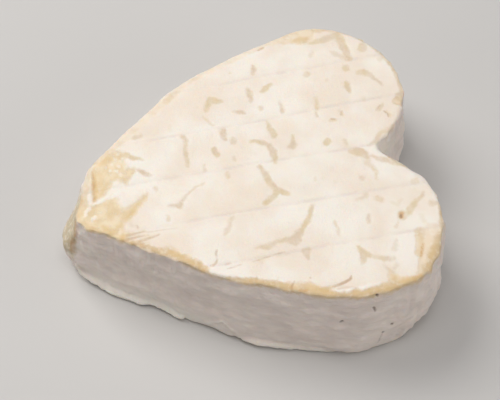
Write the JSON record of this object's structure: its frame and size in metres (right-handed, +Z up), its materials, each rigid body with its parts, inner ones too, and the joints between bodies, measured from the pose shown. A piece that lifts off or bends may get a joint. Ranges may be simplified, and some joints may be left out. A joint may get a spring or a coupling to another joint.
{
  "type": "heart shaped soft cheese",
  "caption": "Heart shaped soft-ripened cheese with a white bloomy rind, lying flat, its point worn to bare yellow paste and its side softly bulged.",
  "frame": {"origin": "under the middle of the heart's bounding box, on the flat face it rests on", "axes": "+Z up through the thickness, +Y from the point of the heart toward the notch, +X to the right seen from above with the notch away"},
  "size_m": [0.1002, 0.1104, 0.0334],
  "materials": {
    "rind": "matte white bloomy rind, straw-yellow where it is worn"
  },
  "bodies": {
    "root": {"cheese": "rind"}
  },
  "joints": []
}
